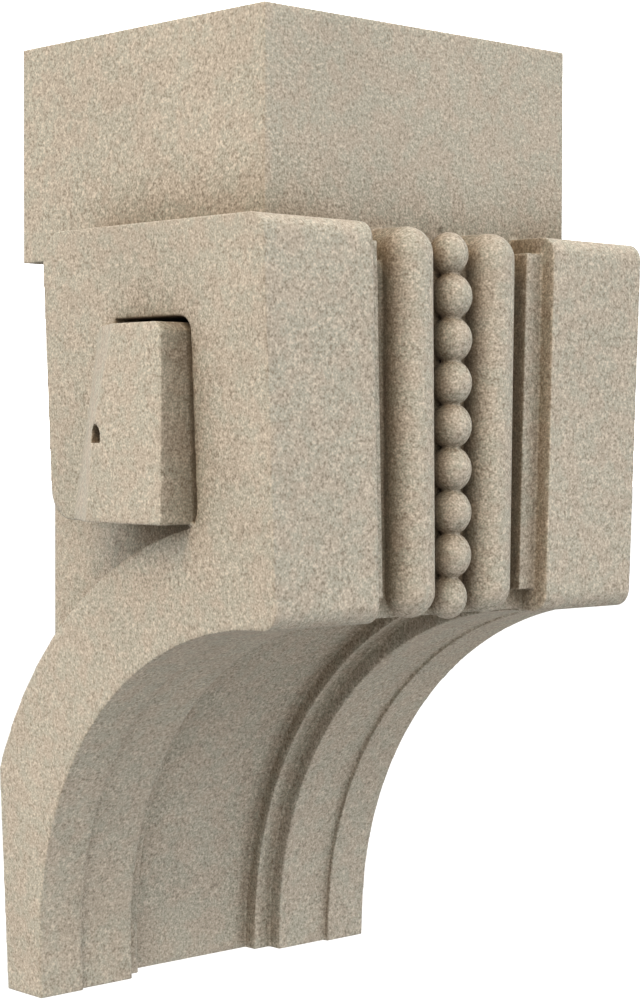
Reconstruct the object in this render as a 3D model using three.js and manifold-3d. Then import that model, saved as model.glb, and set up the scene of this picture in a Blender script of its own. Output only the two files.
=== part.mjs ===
// Stone corbel, cast in one piece and built in against a wall.
// Millimetres, +Z up. The wall is the plane y = 0 and the front faces -Y.
// The origin is the centre of the top block's back face.

import * as THREE from 'three';
import { ConvexGeometry } from 'three/addons/geometries/ConvexGeometry.js';
import { mergeVertices } from 'three/addons/utils/BufferGeometryUtils.js';
import Module from 'manifold-3d';

const wasm = await Module();
wasm.setup();

// Top block
const blockWidth = 172;
const blockDepth = 157;
const blockHeight = 91.5;

// Core under the block: how far its sides stand back from the block's
const coreInset = 16.5;

// Side plates: how far they stand out past the block's sides at their top and at the foot,
// how far they rise past its underside, and the pads on their fronts
const overhangTop = 23;
const overhangFoot = 8.5;
const plateLap = 9;
const padProjection = 25;
const padHeight = 156;
const padDepth = 43.5;
const padCorner = 7.4;

// Scroll of each side plate: the arm along the top and the one down the back
const armHeight = 37;
const backArmWidth = 15;
const backArmFromWall = 45;
const backArmBelowBoss = 0.3;
const backArmCorner = 13;
const recessTopCorner = 6.5;
const recessFootCorner = 8;

// Foot and leg under the scroll
const footThickness = 24.5;
const footDrop = 16.5;
const legThickness = 42;

// Sunk inner part of each plate's underside, which fades out at the pad
const rimWidth = 22.5;
const rimStep = 2.6;

// Field between the pads: half its width at their top and at the foot, and its two steps down
const fieldHalfTop = 52.5;
const fieldHalfFoot = 43.5;
const filletWidth = 9;
const filletStep = 7;
const floorStep = 7;
const lipRise = 1;
const lipThickness = 11;

// Beads, a little longer than wide, which run into each other, and a smaller one at each end
const beadRadius = 8.5;
const beadStretch = 1.12;
const beadLap = 1.7;
const beadSetback = 0.2;
const beadDrop = 0.8;
const endBeadScale = 0.95;
const endBeadSetback = 2.3;

// Rods beside the beads, each midway between them and the fillet, less a small shift
const rodRadius = 10.75;
const rodShift = 2;
const rodEndRise = 0.8;

// Boss in the middle of the scroll: how far it stands out, over what length it falls back
// to the plate behind at its foot, the gaps around it and the small pocket in its face
const bossProud = 13.8;
const bossFall = 28.5;
const bossPeak = 1.6;
const bossBevel = 3.4;
const bossGapFront = 3.2;
const bossGapTop = 2.4;
const bossGapLength = 43.5;
const bossAboveLeg = 0.15;
const pocketFromBack = 35.2;
const pocketAboveBottom = 35.1;
const pocketWidth = 8.2;
const pocketHeight = 7.4;
const pocketDepth = 12;

// Top edge of the boss: how far in front of the gap's end it turns back,
// and how far behind the gap's end it meets the plate's face
const bossTurn = 14;
const bossRunOut = 10;

// How far parts of the mass run into each other so that they join
const bury = 2;

// Facets of the round shapes
const soffitFacets = 48;
const cornerFacets = 6;
const rodFacets = 32;
const beadFacets = 24;
const ringFacets = 8;

// Heights
const blockTop = blockHeight / 2;
const blockBottom = -blockHeight / 2;
const plateTop = blockBottom + plateLap;
const padBottom = plateTop - padHeight;
const armBottom = plateTop - armHeight;
const bossTop = armBottom - bossGapTop;

// Places along y
const padFront = -blockDepth - padProjection;
const filletFront = padFront + filletStep;
const floorFront = filletFront + floorStep;
const recessFront = padFront + padDepth;
const bossFront = recessFront + bossGapFront;
const backArmBack = -backArmFromWall;
const backArmFront = backArmBack - backArmWidth;
const gapEnd = bossFront + bossGapLength;

// The underside is a quarter circle from the foot's front to the pad's lower corner
const curveCentre = padFront + padCorner;
const soffitRadius = -footThickness - curveCentre;
const curveHeight = padBottom - soffitRadius;
const footBottom = curveHeight - footDrop;
const legRadius = soffitRadius + legThickness;
const filletRadius = soffitRadius + rimStep + filletStep;
const coreRadius = filletRadius + floorStep;
const bossBottom = heightOnCircle(legRadius, recessFront) + bossAboveLeg;
const bossMiddle = (bossTop + bossBottom) / 2;

// Half widths
const coreHalf = blockWidth / 2 - coreInset;
const plateHalf = taper(blockWidth / 2 + overhangTop, blockWidth / 2 + overhangFoot);
const fieldHalf = taper(fieldHalfTop, fieldHalfFoot);
const filletHalf = taper(fieldHalfTop - filletWidth, fieldHalfFoot - filletWidth);
const rodPlace = (z) => (beadRadius + filletHalf(z)) / 2 - rodShift;
const bossHalf = plateHalf(bossMiddle) + bossProud;

// A half width that goes evenly from its value at the plates' top to its value at the foot
function taper(top, foot) {
  return (z) => foot + (top - foot) * (z - footBottom) / (plateTop - footBottom);
}

// Height of a circle about the underside's centre, above the place y
function heightOnCircle(radius, y) {
  return curveHeight + Math.sqrt(radius ** 2 - (y - curveCentre) ** 2);
}

// A manifold solid from a geometry
function solid(geometry) {
  const bare = geometry.clone();
  bare.deleteAttribute('normal');
  bare.deleteAttribute('uv');
  const merged = mergeVertices(bare, 1e-4);
  return new wasm.Manifold(new wasm.Mesh({
    numProp: 3,
    vertProperties: new Float32Array(merged.attributes.position.array),
    triVerts: new Uint32Array(merged.index.array),
  }));
}

const at = (y, z) => new THREE.Vector2(y, z);

// Points of an arc in the side view, angles in degrees from +y towards +z
function arc(y, z, radius, from, to, facets) {
  const points = [];
  for (let i = 0; i <= facets; i += 1) {
    const angle = THREE.MathUtils.degToRad(from + (to - from) * i / facets);
    points.push(at(y + radius * Math.cos(angle), z + radius * Math.sin(angle)));
  }
  return points;
}

// A side-view outline drawn out along x between two places that depend on the height
function drawnOut(outline, low, high) {
  const geometry = new THREE.ExtrudeGeometry(new THREE.Shape(outline), { depth: 1, bevelEnabled: false });
  const place = geometry.attributes.position;
  for (let i = 0; i < place.count; i += 1) {
    const y = place.getX(i);
    const z = place.getY(i);
    place.setXYZ(i, low(z) + place.getZ(i) * (high(z) - low(z)), y, z);
  }
  return solid(geometry);
}

// The same on one side of the middle, between an inner and an outer half width
function drawnOutOn(side, outline, inner, outer) {
  if (side > 0) {
    return drawnOut(outline, inner, outer);
  }
  return drawnOut(outline, (z) => -outer(z), (z) => -inner(z));
}

// The foot's front and the concave underside above it, up to the place y = front
function underside(radius, front) {
  const end = THREE.MathUtils.radToDeg(Math.acos((front - curveCentre) / radius));
  return [
    at(curveCentre + radius, footBottom),
    ...arc(curveCentre, curveHeight, radius, 0, end, soffitFacets),
  ];
}

function topBlock() {
  const geometry = new THREE.BoxGeometry(blockWidth, blockDepth, blockHeight);
  geometry.translate(0, -blockDepth / 2, 0);
  return solid(geometry);
}

// Core, with the floor of the field on its front and the lip that hangs below it
function core() {
  const ledge = plateTop - filletStep - floorStep;
  const lipBack = floorFront + lipThickness;
  const outline = [
    ...underside(coreRadius, lipBack),
    at(lipBack, padBottom + lipRise),
    at(floorFront, padBottom + lipRise),
    at(floorFront, ledge),
    at(-blockDepth + bury, ledge),
    at(-blockDepth + bury, 0),
    at(0, 0),
    at(0, footBottom),
  ];
  return drawnOutOn(1, outline, () => -coreHalf, () => coreHalf);
}

// Fillet on one side of the field, one step down from the pad and one up from the floor
function fillet(side) {
  const outline = [
    ...underside(filletRadius, filletFront),
    at(filletFront, plateTop - filletStep),
    at(-blockDepth + bury, plateTop - filletStep),
    at(-blockDepth + bury, 0),
    at(0, 0),
    at(0, footBottom),
  ];
  return drawnOutOn(side, outline, filletHalf, (z) => fieldHalf(z) + bury);
}

// Side view of a plate: foot, underside, pad, top arm, back arm, recess and leg
function plateOutline() {
  const armCentre = backArmBack - backArmCorner;
  const backArmBottom = bossBottom - backArmBelowBoss;
  const recessFoot = {
    y: recessFront + recessFootCorner,
    z: heightOnCircle(legRadius + recessFootCorner, recessFront + recessFootCorner),
  };
  const turn = THREE.MathUtils.radToDeg(Math.atan2(recessFoot.z - curveHeight, recessFoot.y - curveCentre));
  const wallTurn = THREE.MathUtils.radToDeg(Math.acos(-curveCentre / legRadius));
  return [
    ...underside(soffitRadius, curveCentre).slice(0, -1),
    ...arc(curveCentre, padBottom + padCorner, padCorner, 270, 180, cornerFacets),
    ...arc(curveCentre, plateTop - padCorner, padCorner, 180, 90, cornerFacets),
    ...arc(armCentre, plateTop - backArmCorner, backArmCorner, 90, 0, cornerFacets),
    ...arc(armCentre, backArmBottom + backArmCorner, backArmCorner, 0, -90, cornerFacets),
    at(gapEnd, backArmBottom),
    at(gapEnd, armBottom),
    ...arc(recessFront + recessTopCorner, armBottom - recessTopCorner, recessTopCorner, 90, 180, cornerFacets),
    ...arc(recessFoot.y, recessFoot.z, recessFootCorner, 180, 180 + turn, cornerFacets),
    ...arc(curveCentre, curveHeight, legRadius, turn, wallTurn, soffitFacets).slice(1, -1),
    at(0, heightOnCircle(legRadius, 0)),
    at(0, footBottom),
  ];
}

function plate(side) {
  const whole = drawnOutOn(side, plateOutline(), fieldHalf, plateHalf);
  const sunk = [
    at(curveCentre, footBottom - bury),
    at(rimStep - footThickness, footBottom - bury),
    ...arc(curveCentre + rimStep, curveHeight, soffitRadius, 0, 90, soffitFacets),
    at(curveCentre, curveHeight),
  ];
  const inner = (z) => fieldHalf(z) - bury;
  const rim = (z) => plateHalf(z) - rimWidth;
  return whole.subtract(drawnOutOn(side, sunk, inner, rim));
}

// A solid with flat faces around points given for the +x side
function hull(side, places) {
  return solid(new ConvexGeometry(places.map(([x, y, z]) => new THREE.Vector3(side * x, y, z))));
}

// Boss: a very low pyramid with its peak at the pocket, which falls back to the plate's face behind it
function boss(side) {
  const peakPlace = backArmFront - pocketFromBack;
  const peakHeight = bossBottom + pocketAboveBottom;
  const block = hull(side, [
    [bossHalf, bossFront, bossBottom],
    [bossHalf, bossFront, bossTop - bossBevel],
    [bossHalf, bossFront + bossBevel, bossTop],
    [bossHalf, gapEnd - bossTurn, bossTop],
    [bossHalf, backArmFront - bossFall, bossBottom],
    [bossHalf + bossPeak, peakPlace, peakHeight],
    [plateHalf(bossTop), gapEnd + bossRunOut, bossTop],
    [plateHalf(bossBottom), backArmFront, bossBottom],
    [coreHalf - bury, bossFront, bossBottom],
    [coreHalf - bury, bossFront, bossTop - bossBevel],
    [coreHalf - bury, bossFront + bossBevel, bossTop],
    [coreHalf - bury, gapEnd + bury, bossTop],
    [coreHalf - bury, gapEnd + bury, bossBottom],
  ]);
  return block.subtract(pocket(side, peakPlace, peakHeight));
}

// Pocket with a flat sill and an arched top
function pocket(side, y, z) {
  const half = pocketWidth / 2;
  const sill = z - pocketHeight / 2;
  const spring = z + pocketHeight / 2 - half;
  const outline = [
    at(y - half, sill),
    at(y + half, sill),
    ...arc(y, spring, half, 0, 180, cornerFacets),
  ];
  return drawnOutOn(side, outline, () => bossHalf + bossPeak - pocketDepth, () => bossHalf + bossPeak + bury);
}

// Rod with round ends, which follows the field's taper and turns back to the block at its top
function rod(side) {
  const low = padBottom + rodEndRise + rodRadius;
  const high = plateTop - rodRadius;
  const centre = padFront + rodRadius;
  const profile = [
    ...arc(0, low, rodRadius, -90, 0, ringFacets),
    ...arc(0, high, rodRadius, 0, 90, ringFacets),
  ];
  profile[0].x = 0;
  profile[profile.length - 1].x = 0;
  const upright = new THREE.LatheGeometry(profile, rodFacets);
  upright.rotateX(Math.PI / 2);
  upright.translate(0, centre, 0);
  const place = upright.attributes.position;
  for (let i = 0; i < place.count; i += 1) {
    place.setX(i, place.getX(i) + side * rodPlace(place.getZ(i)));
  }
  const reach = -blockDepth + bury - centre;
  const turned = new THREE.CylinderGeometry(rodRadius, rodRadius, reach, rodFacets);
  turned.translate(side * rodPlace(high), centre + reach / 2, high);
  return solid(upright).add(solid(turned));
}

function bead(scale, setback, z) {
  const radius = scale * beadRadius;
  const geometry = new THREE.SphereGeometry(radius, beadFacets, beadFacets / 2);
  geometry.scale(1, 1, beadStretch);
  geometry.translate(0, padFront + setback + radius, z);
  return solid(geometry);
}

// String of beads down the middle, as many as best fill the pads' height
function beads() {
  const length = 2 * beadRadius * beadStretch;
  const count = Math.round(padHeight / (length - beadLap));
  const pitch = padHeight / count;
  const top = plateTop - beadDrop;
  const endInset = endBeadScale * length / 2;
  let string = bead(endBeadScale, endBeadSetback, top - endInset);
  for (let i = 1; i < count - 1; i += 1) {
    string = string.add(bead(1, beadSetback, top - pitch * (i + 0.5)));
  }
  return string.add(bead(endBeadScale, endBeadSetback, top - padHeight + endInset));
}

// A named mesh from a manifold solid
function mesh(name, body, material) {
  const data = body.getMesh();
  const geometry = new THREE.BufferGeometry();
  geometry.setAttribute('position', new THREE.BufferAttribute(data.vertProperties, 3));
  geometry.setIndex(new THREE.BufferAttribute(data.triVerts, 1));
  geometry.computeVertexNormals();
  const result = new THREE.Mesh(geometry, material);
  result.name = name;
  return result;
}

function corbel() {
  let body = topBlock().add(core());
  for (const side of [-1, 1]) {
    body = body.add(plate(side)).add(fillet(side)).add(boss(side)).add(rod(side));
  }
  return body.add(beads());
}

const castStone = new THREE.MeshStandardMaterial({ color: '#c4b89e', roughness: 0.95, metalness: 0 });

const part = new THREE.Group();
part.add(mesh('corbel', corbel(), castStone));

export default part;
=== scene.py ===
"""Stone corbel: one cast piece with softened arrises and a sandy grain, held up in plain soft light."""

import bmesh
import bpy
from mathutils import Matrix, Vector


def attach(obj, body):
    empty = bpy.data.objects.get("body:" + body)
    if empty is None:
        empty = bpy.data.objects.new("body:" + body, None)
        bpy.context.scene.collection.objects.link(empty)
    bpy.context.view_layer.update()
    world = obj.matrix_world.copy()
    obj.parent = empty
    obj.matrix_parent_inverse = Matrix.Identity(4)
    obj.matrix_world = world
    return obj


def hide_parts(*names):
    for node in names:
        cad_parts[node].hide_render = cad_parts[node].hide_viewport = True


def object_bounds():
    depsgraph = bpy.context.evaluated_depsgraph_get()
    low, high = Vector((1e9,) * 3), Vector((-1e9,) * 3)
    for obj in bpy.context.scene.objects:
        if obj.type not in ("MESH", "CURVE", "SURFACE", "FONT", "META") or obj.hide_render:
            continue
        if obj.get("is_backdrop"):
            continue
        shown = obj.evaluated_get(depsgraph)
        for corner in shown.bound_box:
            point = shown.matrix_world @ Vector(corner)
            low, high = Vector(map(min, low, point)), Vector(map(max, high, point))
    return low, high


bl_info = {
    "name": "Stone Corbel",
    "version": (1, 0, 0),
    "blender": (4, 5, 0),
    "location": "3D View > Sidebar > Corbel",
    "description": "Builds a cast stone corbel and the plain stage that it is shown on",
    "category": "Add Mesh",
}

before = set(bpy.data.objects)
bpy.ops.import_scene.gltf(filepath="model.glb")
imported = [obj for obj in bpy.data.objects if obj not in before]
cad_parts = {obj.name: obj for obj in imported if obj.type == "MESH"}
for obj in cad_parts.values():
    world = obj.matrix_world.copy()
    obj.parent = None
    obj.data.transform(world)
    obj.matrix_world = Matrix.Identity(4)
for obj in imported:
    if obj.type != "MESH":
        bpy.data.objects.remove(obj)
MM = 0.001
LOW, HIGH = (Vector(corner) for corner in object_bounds())
NODE = "corbel"

# The skin
SAME_CORNER = 0.005 * MM       # corners of the solid's loose triangles that are this close are one
SMOOTHING = 0.5                # how far one smoothing pulls a corner towards its neighbours
CRUMB_LAYERS = 2               # finer layers in the noise of the crumbs

# The stone's grain and tones; a pair is a range that is stretched to 0 to 1
COARSE_SHARE = 0.6             # share of the coarse grains in the speckle, the rest is fine ones
SPECKLE_MIDDLE = 0.5           # the speckle's mean
GREY_BLOTCHES = (0.42, 0.58)   # blotches, from sand to grey sand
PALE_GRAINS = (0.52, 0.74)     # speckle, from the ground to the palest grain
DARK_GRAINS = (0.48, 0.26)     # speckle, from the ground to the darkest grain
SOFT_TONES = (0.3, 0.7)        # clouds and blotches, from dark to light
BASE_TONE = 0.93               # brightness where neither lightens the stone
CLOUD_TONE = 0.10              # what the clouds add to it at most
BLOTCH_TONE = 0.04             # what the blotches add to it at most
RAGGED_EDGE = 0.35             # how far the grains break up the edge of the painted shade
PAINTED_SHADE_RANGE = (0.95, 0.35)    # open air, from unshaded stone to full painted shade
SHELTER_SAMPLES = 12           # rays that feel for faces close by, for the painted shade
RELIEF_STRENGTH = 0.4          # share of the grains' relief that shows

# The stage
WHITE = (1.0, 1.0, 1.0, 1.0)
NEAREST = 0.05                 # nearest distance that the camera sees
PICTURE_RIGHT = Vector((0.7328, -0.6805, 0.0026))
PICTURE_DOWN = Vector((-0.0174, -0.0225, -0.9996))


class CorbelStone(bpy.types.PropertyGroup):
    """Sizes and colours of the cast stone."""

    skin: bpy.props.FloatProperty(
        name="Skin", description="Fineness of the skin before it is thinned", default=0.6 * MM, unit="LENGTH")
    softening: bpy.props.IntProperty(
        name="Softening", description="How often the skin is smoothed, which rounds the arrises", default=1)
    wear: bpy.props.FloatProperty(
        name="Wear", description="How deep the crumbs roughen the skin", default=0.08 * MM, unit="LENGTH")
    wear_size: bpy.props.FloatProperty(
        name="Wear size", description="Size of the crumbs", default=2.2 * MM, unit="LENGTH")
    triangles: bpy.props.IntProperty(
        name="Triangles", description="Most triangles of the finished piece", default=190000)
    grain: bpy.props.FloatProperty(
        name="Grain", description="Size of the sand grains", default=0.8 * MM, unit="LENGTH")
    relief: bpy.props.FloatProperty(
        name="Relief", description="Height of the sand grains", default=0.4 * MM, unit="LENGTH")
    blotch: bpy.props.FloatProperty(
        name="Blotches", description="Size of the blotches of greyer sand", default=5 * MM, unit="LENGTH")
    cloud: bpy.props.FloatProperty(
        name="Clouds", description="Size of the soft clouds of tone", default=34 * MM, unit="LENGTH")
    sand: bpy.props.FloatVectorProperty(
        name="Sand", description="Colour of most of the stone", default=(0.196, 0.173, 0.139),
        subtype="COLOR")
    grey_sand: bpy.props.FloatVectorProperty(
        name="Grey sand", description="Colour of the greyer blotches", default=(0.180, 0.173, 0.141),
        subtype="COLOR")
    pale: bpy.props.FloatVectorProperty(
        name="Pale grains", description="Colour of the palest grains", default=(0.285, 0.252, 0.204),
        subtype="COLOR")
    dark: bpy.props.FloatVectorProperty(
        name="Dark grains", description="Colour of the darkest grains", default=(0.120, 0.102, 0.078),
        subtype="COLOR")
    # Painted shade: the warm dark tint that the colour takes on where nearby faces close the stone in
    painted_shade: bpy.props.FloatVectorProperty(
        name="Grime", description="Tint of the dust and damp that sit in hollows", default=(0.52, 0.44, 0.35),
        subtype="COLOR")
    # How far from nearby faces the painted shade reaches
    hollow: bpy.props.FloatProperty(
        name="Hollow", description="How near a face must be to shelter the dust", default=38 * MM,
        unit="LENGTH")


class CorbelStage(bpy.types.PropertyGroup):
    """Floor, light and camera."""

    drop: bpy.props.FloatProperty(
        name="Floor drop", description="How far the floor lies under the corbel", default=0.35, unit="LENGTH")
    floor_size: bpy.props.FloatProperty(
        name="Floor size", description="Length and width of the floor", default=40.0, unit="LENGTH")
    floor_colour: bpy.props.FloatVectorProperty(
        name="Floor colour", description="Colour of the floor", default=(0.33, 0.33, 0.33), subtype="COLOR")
    sky: bpy.props.FloatProperty(
        name="Sky", description="Strength of the white light from all round", default=3.2)
    key: bpy.props.FloatProperty(
        name="Key", description="Power of the warm light from the left", default=74.0, unit="POWER")
    key_colour: bpy.props.FloatVectorProperty(
        name="Key colour", description="Colour of the light from the left", default=(1.0, 0.70, 0.40),
        subtype="COLOR")
    key_size: bpy.props.FloatProperty(
        name="Key size", description="Width of the light from the left", default=1.6, unit="LENGTH")
    key_place: bpy.props.FloatVectorProperty(
        name="Key place", description="Where the light from the left stands", default=(-2.2, -0.9, 2.0),
        subtype="TRANSLATION", unit="LENGTH")
    camera_place: bpy.props.FloatVectorProperty(
        name="Camera place", description="Where the camera stands", default=(-0.6684, -0.8162, -0.1193),
        subtype="TRANSLATION", unit="LENGTH")
    lens: bpy.props.FloatProperty(
        name="Lens", description="Focal length of the camera", default=82.75, unit="CAMERA")


class Value:
    """A shader socket that adds Math nodes when it is used in an expression."""

    def __init__(self, shader, socket):
        self.shader = shader
        self.socket = socket

    def _math(self, operation, *others):
        node = self.shader.node("ShaderNodeMath", {"operation": operation}, dict(enumerate(others)))
        return Value(self.shader, node.outputs[0])

    def __add__(self, other):
        return self._math("ADD", self, other)

    def __radd__(self, other):
        return self._math("ADD", other, self)

    def __sub__(self, other):
        return self._math("SUBTRACT", self, other)

    def __rsub__(self, other):
        return self._math("SUBTRACT", other, self)

    def __mul__(self, other):
        return self._math("MULTIPLY", self, other)

    def __rmul__(self, other):
        return self._math("MULTIPLY", other, self)


class Shader:
    """A material's node tree, and the one way in which its nodes are made."""

    def __init__(self, name):
        self.material = bpy.data.materials.new(name)
        self.material.use_nodes = True
        self.tree = self.material.node_tree
        self.surface = self.tree.nodes["Principled BSDF"]
        self.place = self.node("ShaderNodeTexCoord").outputs["Object"]

    def node(self, kind, settings=None, inputs=None):
        """A node with its settings, and its sockets fed with values or links."""
        node = self.tree.nodes.new(kind)
        for name, value in (settings or {}).items():
            setattr(node, name, value)
        self.feed(node, inputs or {})
        return node

    def feed(self, node, inputs):
        """Sets or links the node's sockets, which are given by name or number."""
        for name, value in inputs.items():
            if isinstance(value, Value):
                value = value.socket
            if isinstance(value, bpy.types.NodeSocket):
                self.tree.links.new(value, node.inputs[name])
            else:
                node.inputs[name].default_value = value

    def noise(self, size, detail, roughness=0.5):
        """Noise from 0 to 1 whose blobs are about the given size across, a blob and a gap to each cell."""
        node = self.node("ShaderNodeTexNoise", {"noise_dimensions": "3D"}, {
            "Vector": self.place, "Scale": 1 / (2 * size), "Detail": detail, "Roughness": roughness})
        return Value(self, node.outputs["Fac"])

    def spread(self, value, low, high):
        """The value's range from low to high stretched to 0 to 1, and held there."""
        node = self.node("ShaderNodeMapRange", {"clamp": True}, {
            "Value": value, "From Min": low, "From Max": high, "To Min": 0.0, "To Max": 1.0})
        return Value(self, node.outputs["Result"])

    def mix(self, factor, a, b, blend="MIX"):
        """A colour mixed from two colours, which have sockets 6 and 7 and come out at 2."""
        node = self.node("ShaderNodeMix", {"data_type": "RGBA", "blend_type": blend},
                         {"Factor": factor, 6: a, 7: b})
        return node.outputs[2]


def rgba(colour):
    return (*colour, 1.0)


def cast_stone(stone):
    """Sandy cast stone: pale and dark grains on a warm ground, with soft clouds and shade painted into its
    hollows.
    """
    shader = Shader("cast stone")
    coarse = shader.noise(stone.grain, detail=1.0)
    fine = shader.noise(stone.grain / 2, detail=0.0)
    clouds = shader.noise(stone.cloud, detail=4.0, roughness=0.6)
    blotches = shader.noise(stone.blotch, detail=3.0, roughness=0.6)
    speckle = coarse * COARSE_SHARE + fine * (1 - COARSE_SHARE)
    colour = shader.mix(shader.spread(blotches, *GREY_BLOTCHES), rgba(stone.sand), rgba(stone.grey_sand))
    colour = shader.mix(shader.spread(speckle, *PALE_GRAINS), colour, rgba(stone.pale))
    colour = shader.mix(shader.spread(speckle, *DARK_GRAINS), colour, rgba(stone.dark))
    cloudy = shader.spread(clouds, *SOFT_TONES) * CLOUD_TONE
    blotchy = shader.spread(blotches, *SOFT_TONES) * BLOTCH_TONE
    tone = BASE_TONE + cloudy + blotchy
    toned = shader.node("ShaderNodeVectorMath", {"operation": "SCALE"}, {0: colour, "Scale": tone})
    # Painted shade: ambient occlusion darkens and warms the colour in grooves and recesses
    shelter = shader.node("ShaderNodeAmbientOcclusion", {"samples": SHELTER_SAMPLES, "only_local": True},
                          {"Distance": stone.hollow})
    open_air = Value(shader, shelter.outputs["AO"])
    ragged = (speckle - SPECKLE_MIDDLE) * RAGGED_EDGE
    painted_shade_mask = shader.spread(open_air + ragged, *PAINTED_SHADE_RANGE)
    colour = shader.mix(painted_shade_mask, toned.outputs["Vector"], rgba(stone.painted_shade), "MULTIPLY")
    bump = shader.node("ShaderNodeBump", None, {
        "Height": speckle, "Strength": RELIEF_STRENGTH, "Distance": stone.relief})
    shader.feed(shader.surface, {
        "Base Color": colour,
        "Roughness": 0.95,
        "Specular IOR Level": 0.25,
        "Normal": bump.outputs["Normal"],
    })
    return shader.material


def make_object(name, bm, material):
    """An object at the origin whose mesh is the bmesh, which is freed."""
    mesh = bpy.data.meshes.new(name)
    bm.to_mesh(mesh)
    bm.free()
    mesh.materials.append(material)
    piece = bpy.data.objects.new(name, mesh)
    bpy.context.scene.collection.objects.link(piece)
    return piece


def apply(piece, kind, **settings):
    """Adds one modifier to the piece and keeps its result as the piece's mesh."""
    modifier = piece.modifiers.new(kind.lower(), kind)
    for name, value in settings.items():
        setattr(modifier, name, value)
    shaped = bpy.data.meshes.new_from_object(piece.evaluated_get(bpy.context.evaluated_depsgraph_get()))
    piece.modifiers.remove(modifier)
    old = piece.data
    piece.data = shaped
    bpy.data.meshes.remove(old)


def triangle_count(piece):
    return sum(len(face.vertices) - 2 for face in piece.data.polygons)


class CORBEL_OT_piece(bpy.types.Operator):
    """Makes the corbel's stone skin from the frame's solid"""

    bl_idname = "corbel.piece"
    bl_label = "Corbel"

    def execute(self, context):
        stone = context.scene.corbel_stone
        bm = bmesh.new()
        bm.from_mesh(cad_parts[NODE].data)
        bmesh.ops.remove_doubles(bm, verts=bm.verts, dist=SAME_CORNER)
        piece = make_object("stone_corbel", bm, cast_stone(stone))
        apply(piece, "REMESH", mode="VOXEL", voxel_size=stone.skin, adaptivity=0.0)
        apply(piece, "SHRINKWRAP", target=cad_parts[NODE])
        apply(piece, "SMOOTH", factor=SMOOTHING, iterations=stone.softening)
        crumbs = bpy.data.textures.new("crumbs", "CLOUDS")
        crumbs.noise_scale = stone.wear_size
        crumbs.noise_depth = CRUMB_LAYERS
        apply(piece, "DISPLACE", texture=crumbs, texture_coords="LOCAL", strength=stone.wear, mid_level=1.0)
        apply(piece, "DECIMATE", decimate_type="COLLAPSE", ratio=stone.triangles / triangle_count(piece))
        piece.data.shade_smooth()
        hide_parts(NODE)
        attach(piece, "root")
        return {"FINISHED"}


class CORBEL_OT_stage(bpy.types.Operator):
    """Sets the floor, the light and the camera"""

    bl_idname = "corbel.stage"
    bl_label = "Stage"

    def execute(self, context):
        stage = context.scene.corbel_stage
        self.floor(stage)
        self.light(context, stage)
        self.camera(context, stage)
        return {"FINISHED"}

    def floor(self, stage):
        bm = bmesh.new()
        bmesh.ops.create_grid(bm, x_segments=1, y_segments=1, size=stage.floor_size / 2)
        bmesh.ops.translate(bm, verts=bm.verts, vec=(0, 0, LOW.z - stage.drop))
        shader = Shader("pale floor")
        shader.feed(shader.surface, {"Base Color": rgba(stage.floor_colour), "Roughness": 0.9})
        make_object("floor", bm, shader.material)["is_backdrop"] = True

    def light(self, context, stage):
        world = bpy.data.worlds.new("studio")
        world.use_nodes = True
        background = world.node_tree.nodes["Background"]
        background.inputs["Color"].default_value = WHITE
        background.inputs["Strength"].default_value = stage.sky
        context.scene.world = world
        lamp = bpy.data.lights.new("key", "AREA")
        lamp.shape = "DISK"
        lamp.size = stage.key_size
        lamp.energy = stage.key
        lamp.color = stage.key_colour
        key = bpy.data.objects.new("key", lamp)
        key.location = stage.key_place
        towards_corbel = (LOW + HIGH) / 2 - stage.key_place
        key.rotation_euler = towards_corbel.to_track_quat("-Z", "Y").to_euler()
        context.scene.collection.objects.link(key)

    def camera(self, context, stage):
        ahead = PICTURE_RIGHT.cross(PICTURE_DOWN)
        turn = Matrix((PICTURE_RIGHT, -PICTURE_DOWN, -ahead)).transposed().to_4x4()
        data = bpy.data.cameras.new("camera")
        data.lens = stage.lens
        data.clip_start = NEAREST
        camera = bpy.data.objects.new("camera", data)
        camera.matrix_world = Matrix.Translation(stage.camera_place) @ turn
        context.scene.collection.objects.link(camera)
        context.scene.camera = camera
        context.scene.view_settings.view_transform = "Standard"


class CORBEL_PT_panel(bpy.types.Panel):
    """The corbel's sizes, colours and steps"""

    bl_label = "Corbel"
    bl_idname = "CORBEL_PT_panel"
    bl_space_type = "VIEW_3D"
    bl_region_type = "UI"
    bl_category = "Corbel"

    def draw(self, context):
        for settings in (context.scene.corbel_stone, context.scene.corbel_stage):
            for name in settings.__annotations__:
                self.layout.prop(settings, name)
        self.layout.operator(CORBEL_OT_piece.bl_idname)
        self.layout.operator(CORBEL_OT_stage.bl_idname)


CLASSES = (CorbelStone, CorbelStage, CORBEL_OT_piece, CORBEL_OT_stage, CORBEL_PT_panel)


def register():
    for cls in CLASSES:
        bpy.utils.register_class(cls)
    bpy.types.Scene.corbel_stone = bpy.props.PointerProperty(type=CorbelStone)
    bpy.types.Scene.corbel_stage = bpy.props.PointerProperty(type=CorbelStage)


def unregister():
    del bpy.types.Scene.corbel_stage
    del bpy.types.Scene.corbel_stone
    for cls in reversed(CLASSES):
        bpy.utils.unregister_class(cls)


def main():
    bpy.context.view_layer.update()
    register()
    bpy.ops.corbel.piece()
    bpy.ops.corbel.stage()


if __name__ == "__main__":
    main()
